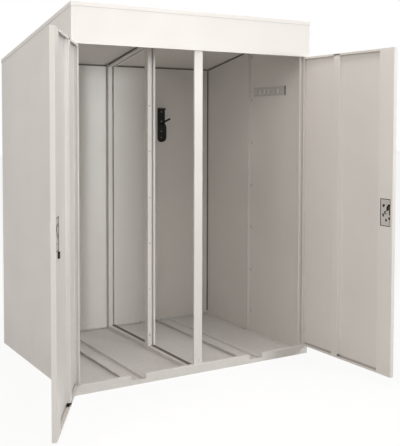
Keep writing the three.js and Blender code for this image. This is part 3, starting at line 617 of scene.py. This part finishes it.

# The coat rails: a strip with seven hooks folded out of it, screwed to the side wall. Its coat
# is a darker grey, painted shade for the dark interior mirrored in the strip; the hooks take a
# painted highlight; and a black moulded cap at its front end is painted shade there.
# Painted shade: a darker grey for the dark interior that the strip mirrors.
rail_shaded_colour = (0.66, 0.65, 0.62)
rail_shaded_cloud = (0.61, 0.60, 0.575)
rail_fold, rail_cut = 0.8 * mm, 0.5 * mm
rail_thick, hooks_beyond = 2 * mm, 2.5 * mm
rail_screw_inset = 12 * mm
cap_profile = [(0, 0), (0, 9), (2.4, 9), (3.6, 8.2), (4.2, 6.6), (4.2, 2.4), (3.6, 0.8), (2.4, 0)]
cap_gap = 0.3 * mm
rail_shade_and_highlight_coat = powder_coat("rail_shade_and_highlight_coat", rail_shaded_colour, rail_shaded_cloud, dust=0, rub_and_highlight_amount=1.8, bright=0.36)
for side, way in (("left", 1), ("right", -1)):
    node = f"{side}_coat_rail"
    low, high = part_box(node)
    wall_x = low.x if side == "left" else high.x
    rail = folded_sheet(node, rail_fold, rail_cut)
    wear_and_highlight = rail.faces.layers.float["fold"]
    # The hooks' faces are marked for the lighter tone: a painted highlight where they catch the
    # light.
    for face in rail.faces:
        if abs(face.calc_center_median().x - wall_x) > hooks_beyond:
            face[wear_and_highlight] = 1
    finished(f"{node}_sheet", rail, rail_shade_and_highlight_coat, "cabinet", "inner_paint", node)

    # Painted shade: the black cap stands for the shade at the rail's front end.
    ends = [Vector((wall_x, low.y - cap_gap, height)) for height in (low.z, high.z)]
    if side == "left":
        ends.reverse()
    cap = bmesh.new()
    strip(cap, cap_profile, *ends, Vector((way, 0, 0)))
    finished(f"{node}_end_cap", closed(cap), painted_shade_rubber, "cabinet", "black_parts")

    places = []
    for y in (low.y + rail_screw_inset, high.y - rail_screw_inset):
        places.append(((wall_x + way * rail_thick, y, high.z - rail_screw_inset), (way, 0, 0)))
    fixings(f"{node}_screws", hook_screw_profile, places)

# The pivots: steel angles with a pin, one above and one below each door. They are cut and
# folded from sheet, and coated with the cabinet.
pivot_fold, pivot_cut = 0.8 * mm, 0.5 * mm
for side in ("left", "right"):
    for level in ("upper", "lower"):
        node = f"{side}_{level}_pivot"
        angle = folded_sheet(node, pivot_fold, pivot_cut)
        finished(f"{node}_angle", angle, shell_coat, "cabinet", "shell_paint", node)

# The doors: a pan folded from 1.5 mm sheet, with a hat-section stiffener and a lock stile
# spot-welded inside it, in the cabinet's powder coat. Painted shade darkens a band of the inner
# faces just above the bottom lip. The right door's coat is a little lighter and its lock stile
# lighter still, as painted light.
hinge_side, hinge_line = 740, -569.7
left_open, right_open = -119.5, 90.5
hinges = {"left": (-hinge_side, left_open, 1), "right": (hinge_side, right_open, -1)}
lip_height = 12
skin_area = 0.3
nearly_square = 0.9
# Painted light: the right door's coat a little lighter, and its lock stile lighter still, than the
# same coat on the left door.
right_door_lit_colour = (0.83, 0.804, 0.773)
right_door_lit_cloud = (0.8, 0.776, 0.745)
right_stile_lit_colour = (0.86, 0.834, 0.803)
right_stile_lit_cloud = (0.83, 0.806, 0.775)


def on_door(side):
    """From a closed left-hand door's millimetres to the place of that side's open door."""
    pivot, degrees, way = hinges[side]
    turned_open = Matrix.Rotation(math.radians(degrees), 4, "Z")
    at_pivot = Matrix.Translation((pivot * mm, hinge_line * mm, 0))
    return at_pivot @ turned_open @ Matrix.Diagonal((way * mm, mm, mm, 1))


def door_inward(side):
    """The way that the inner face of that side's open door points."""
    return (on_door(side).to_3x3() @ Vector((0, 1, 0))).normalized()


door_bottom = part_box("left_door_pan")[0].z
lip_shade_line = door_bottom + lip_height * mm
right_stile_lit_coat = powder_coat("right_stile_lit_coat", right_stile_lit_colour, right_stile_lit_cloud)
door_coats = {
    "left": powder_coat("left_door_coat", coat_colour, coat_cloud, lip_shade_line=lip_shade_line),
    "right": powder_coat("right_door_lit_coat", right_door_lit_colour, right_door_lit_cloud, lip_shade_line=lip_shade_line),
}
for side in ("left", "right"):
    inward = door_inward(side)
    for part in ("door_pan", "door_stiffener", "lock_stile"):
        node = f"{side}_{part}"
        sheet = folded_sheet(node)
        groove = sheet.faces.layers.float.new("groove")
        for face in sheet.faces:
            if face.calc_area() > skin_area and face.normal.dot(inward) > nearly_square:
                face[groove] = 1
        # The right lock stile takes the lighter coat of painted light.
        coat = right_stile_lit_coat if node == "right_lock_stile" else door_coats[side]
        finished(f"{node}_sheet", sheet, coat, f"{side}_door", "shell_paint", node)

# The stiffeners' feet. In the notch of the left door's bottom lip sits a black moulded block,
# painted shade for the dark gap there; in that of the right door a folded sheet foot is welded in,
# in the lighter coat of the right lock stile.
notch_shade_profile = [(0, 0), (0, 12), (3, 12), (3, 10.5), (19, 10.5), (19, 1.5), (3, 1.5), (3, 0)]
foot_profile = [(0, 0), (0, 19), (1.5, 19), (1.5, 1.5), (14, 1.5), (14, 0)]
notch_shade_span, notch_shade_face = (285, 313), 17.3
foot_span, foot_face = (262.8, 313.2), 16.4
notch_lift = 1.6
filler_soft, filler_steps = 0.5 * mm, 2
moulding_and_shade_black = (0.011, 0.011, 0.011)


def notch_filler(side, profile, span, face):
    """A strip of that outline across the notch in the door's bottom lip."""
    shape = bmesh.new()
    height = door_bottom / mm + notch_lift
    near, far = (on_door(side) @ Vector((along, face, height)) for along in span)
    strip(shape, profile, near, far, -door_inward(side))
    mark = closed(shape).faces.layers.float.new("fold")
    rounded(shape, list(shape.edges), filler_soft, filler_steps, mark)
    return shape


moulded_and_shade_rubber = black_coating("moulded_and_shade_rubber", moulding_and_shade_black, dull=0.7, bright=0.5, pebbles=0.5)
notch_shade_block = notch_filler("left", notch_shade_profile, notch_shade_span, notch_shade_face)
finished("left_stiffener_notch_shade_block", notch_shade_block, moulded_and_shade_rubber, "left_door", "black_parts")
foot = notch_filler("right", foot_profile, foot_span, foot_face)
finished("right_stiffener_foot", foot, right_stile_lit_coat, "right_door", "shell_paint")

# The lock: a blackened case behind the window of the stile, a satin plate with cut-outs over
# it, and between them the pinion and the toothed ends of the two rods. The cut-outs are
# stamped; their walls, and every edge of the plate, are painted black as painted shade.
handle_soft, lock_soft, lock_cut = 1.5 * mm, 0.5 * mm, 0.25 * mm
edge_on = 0.5
plate_colour = (0.80, 0.78, 0.75)
rod_colour = (0.14, 0.138, 0.135)
case_colour = (0.008, 0.008, 0.0075)
lock_plate = bare_metal(
    "lock_plate", plate_colour, dull=0.55, bright=0.36, grain=700, metallic=0.45
)
rod_steel = bare_metal("rod_steel", rod_colour, dull=0.5, bright=0.34, grain=800, metallic=1)
case_and_shade_black = black_coating("case_and_shade_black", case_colour, dull=0.6, bright=0.45, pebbles=0.2)
for side in ("left", "right"):
    door, inward = f"{side}_door", door_inward(side)
    lock_pieces = [
        ("lock_case", "blackened", case_and_shade_black, door, "black_parts"),
        ("lock_cover", "plate", lock_plate, door, "lock_metal"),
        ("handle_rosette", "ring", lock_plate, door, "lock_metal"),
        ("handle", "cast", lock_plate, f"{side}_handle", "lock_metal"),
        ("pinion", "cut", rod_steel, f"{side}_handle", "zinc_steel"),
        ("upper_rod", "bar", rod_steel, f"{side}_upper_rod", "zinc_steel"),
        ("lower_rod", "bar", rod_steel, f"{side}_lower_rod", "zinc_steel"),
    ]
    for part, finish, coat, body, slot_name in lock_pieces:
        node = f"{side}_{part}"
        soft = handle_soft if part == "handle" else lock_soft
        shape = folded_sheet(node, soft, lock_cut)
        piece = finished(f"{node}_{finish}", shape, coat, body, slot_name, node)
        # Painted shade: the plate's edge faces, the cut-outs' walls among them, take the black of
        # the case.
        if part == "lock_cover":
            piece.data.materials.append(case_and_shade_black)
            for face in piece.data.polygons:
                face.material_index = int(abs(face.normal.dot(inward)) < edge_on)

# The window frames of painted shade: thin black frames round the edge of each lock window,
# lying on the plate over the lock, where shade falls in the window's recess. They are flat,
# cut out and softly edged.
shade_frame_wide, shade_frame_high = 73.6, 145.6
shade_frame_width, shade_frame_thick = 3.4, 1.4
window_middle = (681, 14.9, 923)
shade_frame_soft, shade_frame_steps = 0.5 * mm, 2


def window_shade_frame(side):
    """A flat frame in the window, with its visible edges rounded."""
    shade_frame = bmesh.new()
    bmesh.ops.create_grid(shade_frame, x_segments=1, y_segments=1, size=0.5)
    bmesh.ops.scale(shade_frame, vec=(shade_frame_wide, shade_frame_high, 1), verts=shade_frame.verts)
    hole = list(shade_frame.faces)
    bmesh.ops.inset_region(
        shade_frame, faces=hole, thickness=shade_frame_width, use_boundary=True, use_even_offset=True
    )
    bmesh.ops.delete(shade_frame, geom=hole, context="FACES")
    made = bmesh.ops.extrude_face_region(shade_frame, geom=list(shade_frame.faces))
    front = {part for part in made["geom"] if isinstance(part, bmesh.types.BMVert)}
    bmesh.ops.translate(shade_frame, verts=list(front), vec=(0, 0, -shade_frame_thick))
    upright = Matrix.Rotation(math.radians(90), 4, "X")
    place = on_door(side) @ Matrix.Translation(window_middle) @ upright
    bmesh.ops.transform(shade_frame, matrix=place, verts=shade_frame.verts)
    closed(shade_frame)
    border = []
    for edge in shade_frame.edges:
        if front.issuperset(edge.verts) and edge.calc_face_angle(0) > corner_angle:
            border.append(edge)
    bmesh.ops.bevel(
        shade_frame, geom=border, offset=shade_frame_soft, offset_type="OFFSET", affect="EDGES",
        segments=shade_frame_steps, profile=0.5, material=-1,
    )
    return shade_frame


for side in ("left", "right"):
    name = f"{side}_window_shade_frame"
    finished(name, window_shade_frame(side), case_and_shade_black, f"{side}_door", "black_parts")

# The stop under the left lock's window: a block of the same black moulded rubber as the
# notch's painted shade block, fixed to the lock stile.
stop_soft, stop_cut = 2 * mm, 0.5 * mm
stop = folded_sheet("left_window_stop", stop_soft, stop_cut)
finished(
    "left_window_stop_rubber", stop, moulded_and_shade_rubber, "left_door", "black_parts", "left_window_stop"
)

# The size: the box round the finished locker.
low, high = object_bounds()
